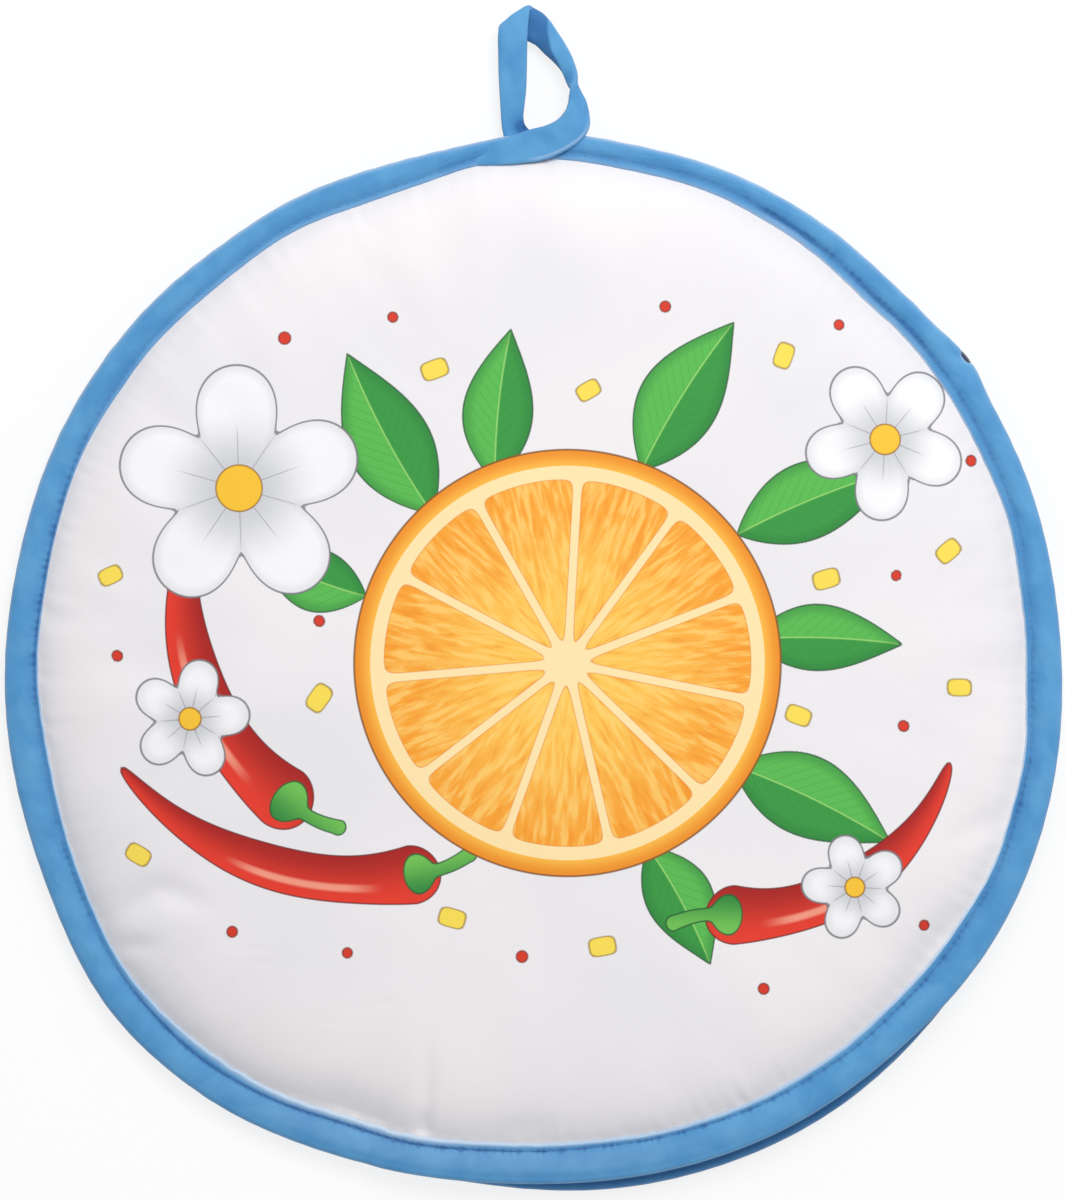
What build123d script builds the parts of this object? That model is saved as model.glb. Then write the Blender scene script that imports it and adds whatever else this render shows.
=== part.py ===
from build123d import *

import os
from math import asin, cos, degrees, radians, sin

# Tortilla warmer: a soft round pouch of two padded panels, bound round the rim with folded tape.
# It lies on its back. +Z is up, the origin is the middle of the back's flat underside, and the
# open mouth faces -Y. Lengths are millimetres and angles degrees.

# Overall size
outer_radius = 152.5  # over the rim binding
mouth_half_angle = 72.0  # unsewn stretch of the rim, each side of -Y
seam_lift = 3.0  # underside of the rim binding above the table

# Cloth layers
cover_thick = 0.4
lining_thick = 0.3
batting_loft = 5.0  # padding in the middle of a panel
batting_pinched = 0.5  # the same padding where it is sewn down
cavity_height = 6.0  # room between the two linings
shoulder_run = 23.5  # a panel rounds down to its seam over this width
crown_share = 0.65  # how far the shoulder stays high, as a share of its run
foot_share = 0.1  # where it turns steep, as a share of its run from the seam
foot_rise = 0.6  # how high it still is there, as a share of its height

# Binding tape
binding_width = 10.0
tape_leaf = 0.5  # two plies on each face of the rim
seat_margin = 1.0  # flat cloth inside the tape's edge
edge_margin = 0.3  # cut edges of the cloth to the fold of the tape

# Mouth and front flap
lip_clearance = 0.3  # between the stitch lines of the two lips at the mouth's corners
lip_setback = 3.0  # the back lip shows this much beyond the front one
gape_angle = 3.5  # the front lip stands open at rest
cut_gap = 0.3  # across the line where the front folds

# Thread
thread_diameter = 0.25
stitch_inset = 1.5  # stitch line from the tape's inner edge
bartack_length = 5.5
bartack_width = 1.5
bartack_thick = 0.3
bartack_inset = 3.0  # along the rim, from the mouth's corner or the lap's end
bartack_margin = 0.7  # between a stitch line and the bartack or lap beside it

# Hanging loop, the free tail of the binding tape
loop_azimuth = 36.4
loop_reach = 38.0  # rim to the fold at its tip
loop_left = 9.5  # outer edge of the straight leg from the loop's centre line
loop_right = 16.0  # outer edge of the turned leg from the loop's centre line
loop_tip_offset = 1.0
loop_shoulder = 5.0  # drop from the tip to the straight leg's corner
loop_bow_start = 6.0  # the turned leg leaves the rim straight over this length
loop_strip = 8.0  # width of the folded tape
loop_turned_width = 5.0  # the same tape where it turns on its edge
loop_eye_root = 4.0  # cloth between the rim and the eye
loop_eye_tip = 10.5  # cloth between the eye and the tip
loop_eye_lean = 2.5  # the eye's widest place lies this much nearer the rim than its middle
loop_thick = 2.0
loop_gap = 0.3
lap_length = 17.0  # tape end lapped over the rim binding, from which the loop grows

# Heights of the layers, each as (in the middle of a panel, at the seam)
back_cover_under = (0.0, seam_lift + tape_leaf)
back_cover_over = (back_cover_under[0] + cover_thick, back_cover_under[1] + cover_thick)
back_batting_over = (back_cover_over[0] + batting_loft, back_cover_over[1] + batting_pinched)
back_lining_over = (back_batting_over[0] + lining_thick, back_batting_over[1] + lining_thick)
front_lining_under = (back_lining_over[0] + cavity_height, back_lining_over[1])
front_lining_over = (front_lining_under[0] + lining_thick, front_lining_under[1] + lining_thick)
front_batting_over = (front_lining_over[0] + batting_loft, front_lining_over[1] + batting_pinched)
front_cover_over = (front_batting_over[0] + cover_thick, front_batting_over[1] + cover_thick)

rim_bottom = seam_lift
rim_top = front_cover_over[1] + tape_leaf
rim_bend = (rim_top - rim_bottom) / 2
back_lip_top = back_lining_over[1] + tape_leaf
front_lip_bottom = back_lip_top + 2 * thread_diameter + lip_clearance
lip_rise = front_lip_bottom + tape_leaf - front_lining_under[1]
front_lip_top = rim_top + lip_rise

# Radii, and the line where the front folds
binding_inner = outer_radius - binding_width
seat_radius = binding_inner - seat_margin
flat_radius = seat_radius - shoulder_run
edge_radius = outer_radius - rim_bend - edge_margin
stitch_radius = binding_inner + stitch_inset
fold_y = -outer_radius * cos(radians(mouth_half_angle))
fold_z = front_cover_over[0]

fold_plane = Plane(origin=(0, fold_y, 0), x_dir=(1, 0, 0), z_dir=(0, 1, 0))
pouch_side = fold_plane.offset(cut_gap / 2)
mouth_side = fold_plane.offset(-cut_gap / 2)

# The front flap is drawn shut, then carried up about the fold line by its resting gape
fold_line = Location((0, fold_y, fold_z))
gape = fold_line * Location((0, 0, 0), (-gape_angle, 0, 0)) * fold_line.inverse()
flap_frame = Plane(gape * Location((0, lip_setback, 0)))
flap_side = Plane(gape * mouth_side.location)
flap_axis = Axis(flap_frame.origin, flap_frame.z_dir)


def radial_plane(frame, azimuth=0.0):
    """Upright plane through a frame's axis: local x runs outward and local y runs up."""
    outward = frame.x_dir * cos(radians(azimuth)) + frame.y_dir * sin(radians(azimuth))
    return Plane(origin=frame.origin, x_dir=outward, z_dir=outward.cross(frame.z_dir))


def shoulder_points(heights):
    """Control points of a panel surface's shoulder, from its flat middle to its seam."""
    middle, seam = heights
    return [
        (flat_radius, middle),
        (flat_radius + crown_share * shoulder_run, middle),
        (seat_radius - foot_share * shoulder_run, seam + foot_rise * (middle - seam)),
        (seat_radius, seam),
    ]


def layer_section(frame, under, over, rise=0.0):
    """Half section of one round cloth layer between two surfaces; rise lifts its seam."""
    low = (under[0], under[1] + rise)
    high = (over[0], over[1] + rise)
    with BuildSketch(radial_plane(frame)) as section:
        with BuildLine():
            Line((0, low[0]), (flat_radius, low[0]))
            Bezier(*shoulder_points(low))
            Line((seat_radius, low[1]), (edge_radius, low[1]))
            Line((edge_radius, low[1]), (edge_radius, high[1]))
            Line((edge_radius, high[1]), (seat_radius, high[1]))
            Bezier(*reversed(shoulder_points(high)))
            Line((flat_radius, high[0]), (0, high[0]))
            Line((0, high[0]), (0, low[0]))
        make_face()
    return section.sketch


def binding_section(plane, bottom, top, inner, outer):
    """Section of folded tape round a cut edge: two leaves joined by a round bend."""
    middle = (bottom + top) / 2
    bend = (top - bottom) / 2
    centre = outer - bend
    with BuildSketch(plane) as section:
        with BuildLine():
            Line((inner, bottom), (centre, bottom))
            ThreePointArc((centre, bottom), (outer, middle), (centre, top))
            Line((centre, top), (inner, top))
            Line((inner, top), (inner, top - tape_leaf))
            Line((inner, top - tape_leaf), (centre, top - tape_leaf))
            ThreePointArc(
                (centre, top - tape_leaf),
                (outer - tape_leaf, middle),
                (centre, bottom + tape_leaf),
            )
            Line((centre, bottom + tape_leaf), (inner, bottom + tape_leaf))
            Line((inner, bottom + tape_leaf), (inner, bottom))
        make_face()
    return section.sketch


def thread_sections(frame, bottom, top, azimuth):
    """Sections of the two threads of a stitch line, one on each face of the tape."""
    radius = thread_diameter / 2
    with BuildSketch(radial_plane(frame, azimuth)) as section:
        with Locations((stitch_radius, bottom - radius), (stitch_radius, top + radius)):
            Circle(radius)
    return section.sketch


def stitch_azimuth(cut_y):
    """Azimuth below +X at which a stitch line meets a cut across the pouch at this y."""
    return degrees(asin(cut_y / stitch_radius))


def bartack_patch(height, azimuth):
    """Outline of one bartack laid across the binding at a height."""
    with BuildSketch(Plane.XY.offset(height)) as patch:
        with PolarLocations(bartack_radius, 1, start_angle=azimuth):
            Rectangle(bartack_length, bartack_width)
    return patch.sketch


def save(piece, name):
    """Label a finished piece and write it as its own STEP file."""
    piece.part.label = name
    export_step(piece.part, f"parts/{name}.step")


os.makedirs("parts", exist_ok=True)
rim_plane = radial_plane(Plane.XY)
lip_plane = radial_plane(flap_frame)
rim_turn = degrees(1 / outer_radius)  # one millimetre along the rim
bartack_radius = stitch_radius + bartack_margin + bartack_length / 2

# Back panel: one whole disc of cover, padding and lining
with BuildPart() as back_cover:
    revolve(layer_section(Plane.XY, back_cover_under, back_cover_over), axis=Axis.Z)
save(back_cover, "back_cover")

with BuildPart() as back_batting:
    revolve(layer_section(Plane.XY, back_cover_over, back_batting_over), axis=Axis.Z)
save(back_batting, "back_batting")

with BuildPart() as back_lining:
    revolve(layer_section(Plane.XY, back_batting_over, back_lining_over), axis=Axis.Z)
save(back_lining, "back_lining")

# Front panel behind the fold line, sewn to the back round the rim
with BuildPart() as front_lining:
    revolve(layer_section(Plane.XY, front_lining_under, front_lining_over), axis=Axis.Z)
    split(bisect_by=pouch_side)
save(front_lining, "front_lining")

with BuildPart() as front_batting:
    revolve(layer_section(Plane.XY, front_lining_over, front_batting_over), axis=Axis.Z)
    split(bisect_by=pouch_side)
save(front_batting, "front_batting")

with BuildPart() as front_cover:
    revolve(layer_section(Plane.XY, front_batting_over, front_cover_over), axis=Axis.Z)
    split(bisect_by=pouch_side)
save(front_cover, "front_cover")

# Front panel before the fold line: the same three layers, free to lift
with BuildPart() as flap_lining:
    revolve(
        layer_section(flap_frame, front_lining_under, front_lining_over, lip_rise),
        axis=flap_axis,
    )
    split(bisect_by=flap_side, keep=Keep.BOTTOM)
save(flap_lining, "flap_lining")

with BuildPart() as flap_batting:
    revolve(
        layer_section(flap_frame, front_lining_over, front_batting_over, lip_rise),
        axis=flap_axis,
    )
    split(bisect_by=flap_side, keep=Keep.BOTTOM)
save(flap_batting, "flap_batting")

with BuildPart() as flap_cover:
    revolve(
        layer_section(flap_frame, front_batting_over, front_cover_over, lip_rise),
        axis=flap_axis,
    )
    split(bisect_by=flap_side, keep=Keep.BOTTOM)
save(flap_cover, "flap_cover")

# Binding tape: round the closed rim, and round each lip of the mouth
with BuildPart() as rim_binding:
    revolve(
        binding_section(rim_plane, rim_bottom, rim_top, binding_inner, outer_radius),
        axis=Axis.Z,
    )
    split(bisect_by=pouch_side)
save(rim_binding, "rim_binding")

with BuildPart() as back_mouth_binding:
    revolve(
        binding_section(rim_plane, rim_bottom, back_lip_top, binding_inner, outer_radius),
        axis=Axis.Z,
    )
    split(bisect_by=mouth_side, keep=Keep.BOTTOM)
save(back_mouth_binding, "back_mouth_binding")

with BuildPart() as front_mouth_binding:
    revolve(
        binding_section(lip_plane, front_lip_bottom, front_lip_top, binding_inner, outer_radius),
        axis=flap_axis,
    )
    split(bisect_by=flap_side, keep=Keep.BOTTOM)
save(front_mouth_binding, "front_mouth_binding")

# Stitch lines along the inner edge of each binding, from one corner of the mouth to the other
rim_start = stitch_azimuth(fold_y + cut_gap / 2)
with BuildPart() as rim_stitching:
    revolve(
        thread_sections(Plane.XY, rim_bottom, rim_top, rim_start),
        axis=Axis.Z,
        revolution_arc=180 - 2 * rim_start,
    )
save(rim_stitching, "rim_stitching")

back_lip_start = stitch_azimuth(fold_y - cut_gap / 2)
with BuildPart() as back_mouth_stitching:
    revolve(
        thread_sections(Plane.XY, rim_bottom, back_lip_top, 180 - back_lip_start),
        axis=Axis.Z,
        revolution_arc=180 + 2 * back_lip_start,
    )
save(back_mouth_stitching, "back_mouth_stitching")

front_lip_start = stitch_azimuth(fold_y - cut_gap / 2 - lip_setback)
with BuildPart() as front_mouth_stitching:
    revolve(
        thread_sections(flap_frame, front_lip_bottom, front_lip_top, 180 - front_lip_start),
        axis=flap_axis,
        revolution_arc=180 + 2 * front_lip_start,
    )
save(front_mouth_stitching, "front_mouth_stitching")

# Bartacks that lock the two corners of the mouth, on both faces
corner_azimuth = mouth_half_angle - 90 + bartack_inset * rim_turn
with BuildPart() as mouth_bartacks:
    for azimuth in (corner_azimuth, 180 - corner_azimuth):
        extrude(bartack_patch(rim_top, azimuth), amount=bartack_thick)
        extrude(bartack_patch(rim_bottom, azimuth), amount=-bartack_thick)
save(mouth_bartacks, "mouth_bartacks")

# The tape's end laps over its own start, and its bartack holds the loop's tucked leg
lap_start = radial_plane(Plane.XY, loop_azimuth - lap_length * rim_turn)
lap_bottom = rim_bottom - tape_leaf
lap_top = rim_top + tape_leaf
lap_inner = stitch_radius + bartack_margin
lap_outer = outer_radius + tape_leaf
with BuildPart() as loop_root:
    revolve(
        binding_section(lap_start, lap_bottom, lap_top, lap_inner, lap_outer),
        axis=Axis.Z,
        revolution_arc=lap_length * rim_turn,
    )
save(loop_root, "loop_root")

lap_tack_azimuth = loop_azimuth - bartack_inset * rim_turn
with BuildPart() as loop_bartack:
    extrude(bartack_patch(lap_top, lap_tack_azimuth), amount=bartack_thick)
    extrude(bartack_patch(lap_bottom, lap_tack_azimuth), amount=-bartack_thick)
save(loop_bartack, "loop_bartack")

# Hanging loop, in its own plane: local x runs out from the rim and local y along it
loop_outward = Vector(cos(radians(loop_azimuth)), sin(radians(loop_azimuth)), 0)
loop_bottom = (rim_bottom + rim_top - loop_thick) / 2
loop_origin = loop_outward * (lap_outer + loop_gap) + Vector(0, 0, loop_bottom)
loop_plane = Plane(origin=loop_origin, x_dir=loop_outward, z_dir=(0, 0, 1))
leg_corner = (loop_reach - loop_shoulder, loop_left)
loop_tip = (loop_reach, loop_tip_offset)
bow_start = (loop_bow_start, -loop_right)
eye_left = loop_left - loop_strip
eye_near = (loop_eye_root, eye_left)
eye_far = (loop_reach - loop_eye_tip, eye_left)
eye_bow_place = (eye_near[0] + eye_far[0]) / 2 - loop_eye_lean
eye_bow = (eye_bow_place, loop_turned_width - loop_right)
with BuildPart() as hanging_loop:
    with BuildSketch(loop_plane):
        with BuildLine():
            Polyline((0, -loop_right), (0, loop_left), leg_corner, loop_tip)
            TangentArc(bow_start, loop_tip, tangent=(1, 0))
            Line(bow_start, (0, -loop_right))
        make_face()
        with BuildLine():
            Line(eye_near, eye_far)
            ThreePointArc(eye_far, eye_bow, eye_near)
        make_face(mode=Mode.SUBTRACT)
    extrude(amount=loop_thick)
save(hanging_loop, "hanging_loop")
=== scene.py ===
import math
from collections import namedtuple
from functools import partial

import bpy
import numpy as np
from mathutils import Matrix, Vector


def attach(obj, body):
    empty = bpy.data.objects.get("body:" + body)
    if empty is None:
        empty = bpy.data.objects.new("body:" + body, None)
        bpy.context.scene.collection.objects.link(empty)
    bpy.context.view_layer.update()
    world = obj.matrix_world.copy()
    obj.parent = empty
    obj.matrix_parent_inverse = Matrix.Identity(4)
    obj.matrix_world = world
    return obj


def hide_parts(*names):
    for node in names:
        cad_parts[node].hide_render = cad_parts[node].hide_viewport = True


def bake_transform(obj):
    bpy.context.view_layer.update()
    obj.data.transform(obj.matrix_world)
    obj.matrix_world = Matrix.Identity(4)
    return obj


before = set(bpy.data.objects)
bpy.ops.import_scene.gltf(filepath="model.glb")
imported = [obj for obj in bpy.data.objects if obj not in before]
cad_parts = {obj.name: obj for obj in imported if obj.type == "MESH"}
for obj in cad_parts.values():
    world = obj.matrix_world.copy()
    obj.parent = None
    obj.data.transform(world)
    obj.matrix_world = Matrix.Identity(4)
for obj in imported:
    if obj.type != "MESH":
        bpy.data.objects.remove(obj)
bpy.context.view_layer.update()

# ---------------------------------------------------------------- back cover
# A disc of white woven polyester, sewn in all round its rim. It lies flat on the table and turns up
# over the padding's soft edge to the seam, where the stitches gather it in small puckers. Sizes are
# worked out in mm, and angles in degrees from +X towards +Y.
mm = 0.001
rim_size = 152.7
tape_size = 9.6
# Where the sewing pulled the rim and the tape's width out or in: azimuth, half width and how far.
rim_pulls = (
    (166.4, 13, 4.1), (181.4, 9, 1.4), (207.4, 15, -3.2), (251.4, 17, 1.9), (281.4, 15, 0.8),
    (312.4, 12, -0.9), (341.9, 3.6, 1.9), (354.4, 5, -0.5), (16.4, 16, 1.7), (34.9, 7, 2.0),
    (51.4, 10, -1.0), (72.4, 7, -0.7), (114.4, 12, -0.9),
)
tape_pulls = (
    (308.4, 8, 0.9), (336.4, 9, 0.8), (341.9, 3.6, 1.7), (24.4, 8, -0.5), (43.4, 4.5, -1.1), (1.4, 4, 0.5),
    (57.4, 8, 1.0), (77.4, 8, 0.8), (91.4, 5, 0.6), (101.4, 6, -0.5), (137.4, 8, 1.1), (178.4, 10, 0.8),
    (168.4, 7, 0.5), (193.4, 6, 0.9), (220.4, 12, 0.7), (243.4, 14, 0.4), (270.4, 8, 1.1), (353.4, 7, 0.8),
)
cover_tuck = 2.4
back_seam = 3.2
cover_detail = 3
cover_rings = 46
cover_tones = (242, 239, 240), (236, 234, 236)
gather_share = 0.35
gather_limit = 0.9


def bell(value, centre, half_width, power=2):
    """exp(-|(value - centre) / half_width| ^ power)."""
    return np.exp(-np.abs((value - centre) / half_width) ** power)


def around(azimuth, centre, half_width, power=2):
    """The same bell, with the difference taken round the circle in degrees."""
    return bell((azimuth - centre + 180) % 360 - 180, 0, half_width, power)


def bumps(azimuth, rows):
    """A sum of bells round the circle: each row its centre, half width and height, and its power
    where that isn't 2."""
    return sum(height * around(azimuth, at, spread, *power) for at, spread, height, *power in rows)


def ripple(azimuth, seed, slowest, fastest):
    """A sum of cosines of whole numbers of turns round the rim, each with its own phase, about 1 high."""
    draw = np.random.default_rng(seed)
    turns = np.arange(slowest, fastest + 1)
    size = draw.normal(0, 1, len(turns)) / np.sqrt(len(turns))
    phase = draw.uniform(0, 2 * np.pi, len(turns))
    return np.cos(np.radians(azimuth)[..., None] * turns + phase) @ size


def smooth(value):
    """3 v^2 - 2 v^3 of the value held between 0 and 1."""
    held = np.clip(value, 0, 1)
    return held * held * (3 - 2 * held)


def fade(inward, length):
    """1 at a panel's seam, and exp(-distance / length) in from it."""
    return np.exp(-np.maximum(inward, 0) / length)


def rim_radius(azimuth):
    """The rim's size, plus a soft bump for each place where the sewing pulled it out or in."""
    return rim_size + bumps(azimuth, rim_pulls)


def tape_width(azimuth):
    """The tape's size, more in the middle of the mouth and less at the loop, and never quite even."""
    slow = 1.6 * np.cos(np.radians(azimuth - 216.4))
    return tape_size + slow + bumps(azimuth, tape_pulls) + 0.12 * ripple(azimuth, 4, 12, 30)


def disc_grid(rings):
    """The square from -1 to 1 bent into a disc: a point's larger coordinate is its distance from the
    middle, and the ratio of its two coordinates is its angle within a quarter turn."""
    line = np.linspace(-1, 1, 2 * rings + 1)
    a, b = np.meshgrid(line, line, indexing="ij")
    wide = np.abs(a) > np.abs(b)
    reach = np.where(wide, a, b)
    ratio = np.where(wide, b, a) / np.where(reach == 0, 1, reach)
    turn = np.where(wide, ratio, 2 - ratio) * np.pi / 4
    return reach * np.cos(turn), reach * np.sin(turn)


def grid_faces(rows, columns, close_rows=False, close_columns=False):
    """The quads between neighbouring points of a grid, with its last row or column joined to its first."""
    index = np.arange(rows * columns).reshape(rows, columns)
    index = np.vstack([index, index[:1]]) if close_rows else index
    index = np.hstack([index, index[:, :1]]) if close_columns else index
    corners = index[:-1, :-1], index[1:, :-1], index[1:, 1:], index[:-1, 1:]
    return np.stack(corners, -1).reshape(-1, 4)


def make_piece(name, points, faces, material=None, **fields):
    """A smooth mesh object from points in mm and lists of their numbers. Each field is a number or a
    vector for each point, which the material reads."""
    mesh = bpy.data.meshes.new(name)
    mesh.from_pydata((np.asarray(points).reshape(-1, 3) * mm).tolist(), [], list(faces))
    mesh.validate()
    mesh.shade_smooth()
    for field, values in fields.items():
        values = np.asarray(values, np.float32)
        kind, part = ("FLOAT_VECTOR", "vector") if values.ndim == 2 else ("FLOAT", "value")
        mesh.attributes.new(field, kind, "POINT").data.foreach_set(part, values.ravel())
    if material:
        mesh.materials.append(material)
    piece = bpy.data.objects.new(name, mesh)
    bpy.context.scene.collection.objects.link(piece)
    return piece


Layout = namedtuple("Layout", "x y azimuth far inward")


def seam_layout(rings, setback, tuck=cover_tuck):
    """A disc grid stretched to a panel's seam and a tuck past it: x, y, azimuth, the distance from
    the middle and the distance in from the tape's inner edge."""
    x, y = disc_grid(rings)
    azimuth = np.degrees(np.arctan2(y, x))
    edge = rim_radius(azimuth) - setback(azimuth) - tape_width(azimuth)
    far = np.hypot(x, y) * (edge + tuck)
    turn = np.radians(azimuth)
    return Layout(far * np.cos(turn), far * np.sin(turn), azimuth, far, edge - far)


def settle(lay, z, seed):
    """Blender's cloth, sewn fast at the edge and held loosely to the padding elsewhere, cut 1.5% too
    large and filled by a light pressure for 20 frames. Gives how far up each point moved."""
    rows, columns = z.shape
    draw = np.random.default_rng(seed)
    start = np.stack([lay.x, lay.y, z + draw.normal(0, 0.02, z.shape)], -1)
    cloth = make_piece("settling_cloth", start, grid_faces(rows, columns).tolist())
    unit = np.maximum(np.abs(np.linspace(-1, 1, rows))[:, None], np.abs(np.linspace(-1, 1, columns)))
    weight = 0.005 + 0.03 * smooth((0.93 - unit) / 0.2)
    weight[:2] = weight[-2:] = weight[:, :2] = weight[:, -2:] = 1
    weight = weight.ravel().round(3)
    sewn = cloth.vertex_groups.new(name="sewn")
    for share in np.unique(weight):
        sewn.add(np.flatnonzero(weight == share).tolist(), float(share), "REPLACE")
    change = cloth.modifiers.new("settle", "CLOTH")
    fabric = change.settings
    fabric.quality = 5
    fabric.mass = 0.25
    fabric.tension_stiffness = fabric.compression_stiffness = fabric.bending_stiffness = 5
    fabric.shear_stiffness = 4
    fabric.vertex_group_mass = "sewn"
    fabric.pin_stiffness = 1.0
    fabric.shrink_min = -0.015
    fabric.use_pressure = True
    fabric.uniform_pressure_force = 4
    fabric.effector_weights.gravity = 0
    change.collision_settings.use_collision = False
    change.point_cache.frame_start, change.point_cache.frame_end = 1, 20
    for number in range(1, 21):
        bpy.context.scene.frame_set(number)
    settled = cloth.evaluated_get(bpy.context.evaluated_depsgraph_get()).data
    moved = np.empty(len(settled.vertices) * 3, np.float32)
    settled.vertices.foreach_get("co", moved)
    bpy.context.scene.frame_set(1)
    bpy.data.objects.remove(cloth)
    return (moved.reshape(start.shape) / mm - start)[..., 2]


def soften(field, times):
    """Each value of a grid averaged with its four neighbours, times over."""
    for number in range(times):
        edged = np.pad(field, 1, mode="edge")
        beside = edged[:-2, 1:-1] + edged[2:, 1:-1] + edged[1:-1, :-2] + edged[1:-1, 2:]
        field = (2 * field + beside) / 6
    return field


def through(values, count):
    """Catmull-Rom curves through rows of values, at count even places: each span is a cubic whose
    slope at a row is half the difference of the rows on either side of it."""
    place = np.linspace(0, len(values) - 1, count)
    first = np.minimum(place.astype(int), len(values) - 2)
    t = (place - first)[:, None]
    a, b, c = values[np.maximum(first - 1, 0)], values[first], values[first + 1]
    d = values[np.minimum(first + 2, len(values) - 1)]
    return 0.5 * (2 * b + (c - a) * t + (2 * a - 5 * b + 4 * c - d) * t**2 + (3 * b - a - 3 * c + d) * t**3)


def creases(height, setback, seed):
    """What the cloth's settling adds to a cover: a share of its own gathers and waves, without the slow
    rise that the padding holds down, up to a limit. It is settled coarse and made finer by curves."""
    lay = seam_layout(cover_rings, setback)
    moved = settle(lay, height(lay), seed)
    waves = gather_share * (soften(moved, 2) - soften(moved, 30))
    waves = gather_limit * np.tanh(waves / gather_limit)
    count = (len(waves) - 1) * cover_detail + 1
    return through(through(waves, count).T, count).T


def dye(red, green, blue):
    """A colour given as 0 to 255 on screen, in the linear numbers of a shader."""
    value = np.array([red, green, blue]) / 255
    linear = np.where(value <= 0.04045, value / 12.92, ((value + 0.055) / 1.055) ** 2.4)
    return (*linear.tolist(), 1.0)


def put(tree, kind, feeds=None, **settings):
    """One node in a tree: settings are its own choices, and feeds are values or sockets for its inputs."""
    node = tree.nodes.new("ShaderNode" + kind)
    for name, value in settings.items():
        setattr(node, name, value)
    for key, value in (feeds or {}).items():
        if isinstance(value, bpy.types.NodeSocket):
            tree.links.new(value, node.inputs[key])
        else:
            node.inputs[key].default_value = value
    return node


def calc(tree, operation, first, second=0.0, third=0.0):
    """A sum on numbers, such as ADD or MULTIPLY."""
    return put(tree, "Math", {0: first, 1: second, 2: third}, operation=operation).outputs[0]


def blend_colour(tree, share, under, over, way="MIX"):
    """The colour under with share of the colour over."""
    node = put(tree, "Mix", {0: share, 6: under, 7: over}, data_type="RGBA", blend_type=way)
    return node.outputs[2]


def ramp(tree, value, low, high, at_low=0.0, at_high=1.0):
    """A smooth step between two values."""
    feeds = {0: value, 1: low, 2: high, 3: at_low, 4: at_high}
    return put(tree, "MapRange", feeds, interpolation_type="SMOOTHSTEP").outputs[0]


def new_group(name, takes, gives):
    """An empty node group with its named inputs and outputs."""
    group = bpy.data.node_groups.new(name, "ShaderNodeTree")
    for label, kind in takes:
        group.interface.new_socket(label, in_out="INPUT", socket_type="NodeSocket" + kind)
    for label, kind in gives:
        group.interface.new_socket(label, in_out="OUTPUT", socket_type="NodeSocket" + kind)
    return group, group.nodes.new("NodeGroupInput"), group.nodes.new("NodeGroupOutput")


def stored(tree, field, socket="Vector"):
    """A field of the mesh, in its material."""
    return put(tree, "Attribute", attribute_name=field).outputs[socket]


def noise(tree, place, scale, detail, twist=0.0):
    """Cloudy random values about 0.5."""
    feeds = {"Vector": place, "Scale": scale, "Detail": detail, "Distortion": twist}
    return put(tree, "TexNoise", feeds).outputs[0]


def bump(tree, height, depth, strength=1.0, **below):
    """A surface raised up to depth mm by height."""
    feeds = {"Strength": strength, "Distance": depth * mm, "Height": height, **below}
    return put(tree, "Bump", feeds).outputs[0]


def plain_weave():
    """Yarns over and under each other: sin x times sin y, loosened by slubs, with a fleck of tone."""
    group, given, result = new_group(
        "plain weave",
        [("Place", "Vector"), ("Pitch", "Float"), ("Slub", "Float")],
        [("Height", "Float"), ("Fleck", "Float")],
    )
    place, pitch, slub = given.outputs["Place"], given.outputs["Pitch"], given.outputs["Slub"]
    turn = calc(group, "DIVIDE", 2 * math.pi, pitch)
    yarns = put(group, "VectorMath", {0: place, 3: turn}, operation="SCALE").outputs[0]
    part = put(group, "SeparateXYZ", {0: yarns})
    over = calc(group, "MULTIPLY", calc(group, "SINE", part.outputs[0]), calc(group, "SINE", part.outputs[1]))
    streak = put(group, "Mapping", {0: place, 3: (0.10, 0.85, 1.0)}).outputs[0]
    rise = calc(group, "MULTIPLY_ADD", over, 0.5, 0.5)
    rise = calc(group, "MULTIPLY_ADD", noise(group, streak, 1.3, 3.0), slub, rise)
    group.links.new(rise, result.inputs["Height"])
    group.links.new(ramp(group, noise(group, place, 2.4, 2.0), 0.3, 0.7), result.inputs["Fleck"])
    return group


weave_group = plain_weave()


def new_material(name, roughness, sheen, specular=0.3):
    """A material with its Principled shader, whose plain numbers are set on it here."""
    material = bpy.data.materials.new(name)
    material.use_nodes = True
    tree = material.node_tree
    shader = tree.nodes["Principled BSDF"]
    shader.inputs["Roughness"].default_value = roughness
    shader.inputs["Sheen Weight"].default_value = sheen
    shader.inputs["Sheen Roughness"].default_value = 0.45
    shader.inputs["Specular IOR Level"].default_value = specular
    return material, tree, shader


def dress(tree, shader, tone, raised):
    """Joins a colour and a raised surface to the shader."""
    tree.links.new(tone, shader.inputs["Base Color"])
    tree.links.new(raised, shader.inputs["Normal"])


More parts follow.
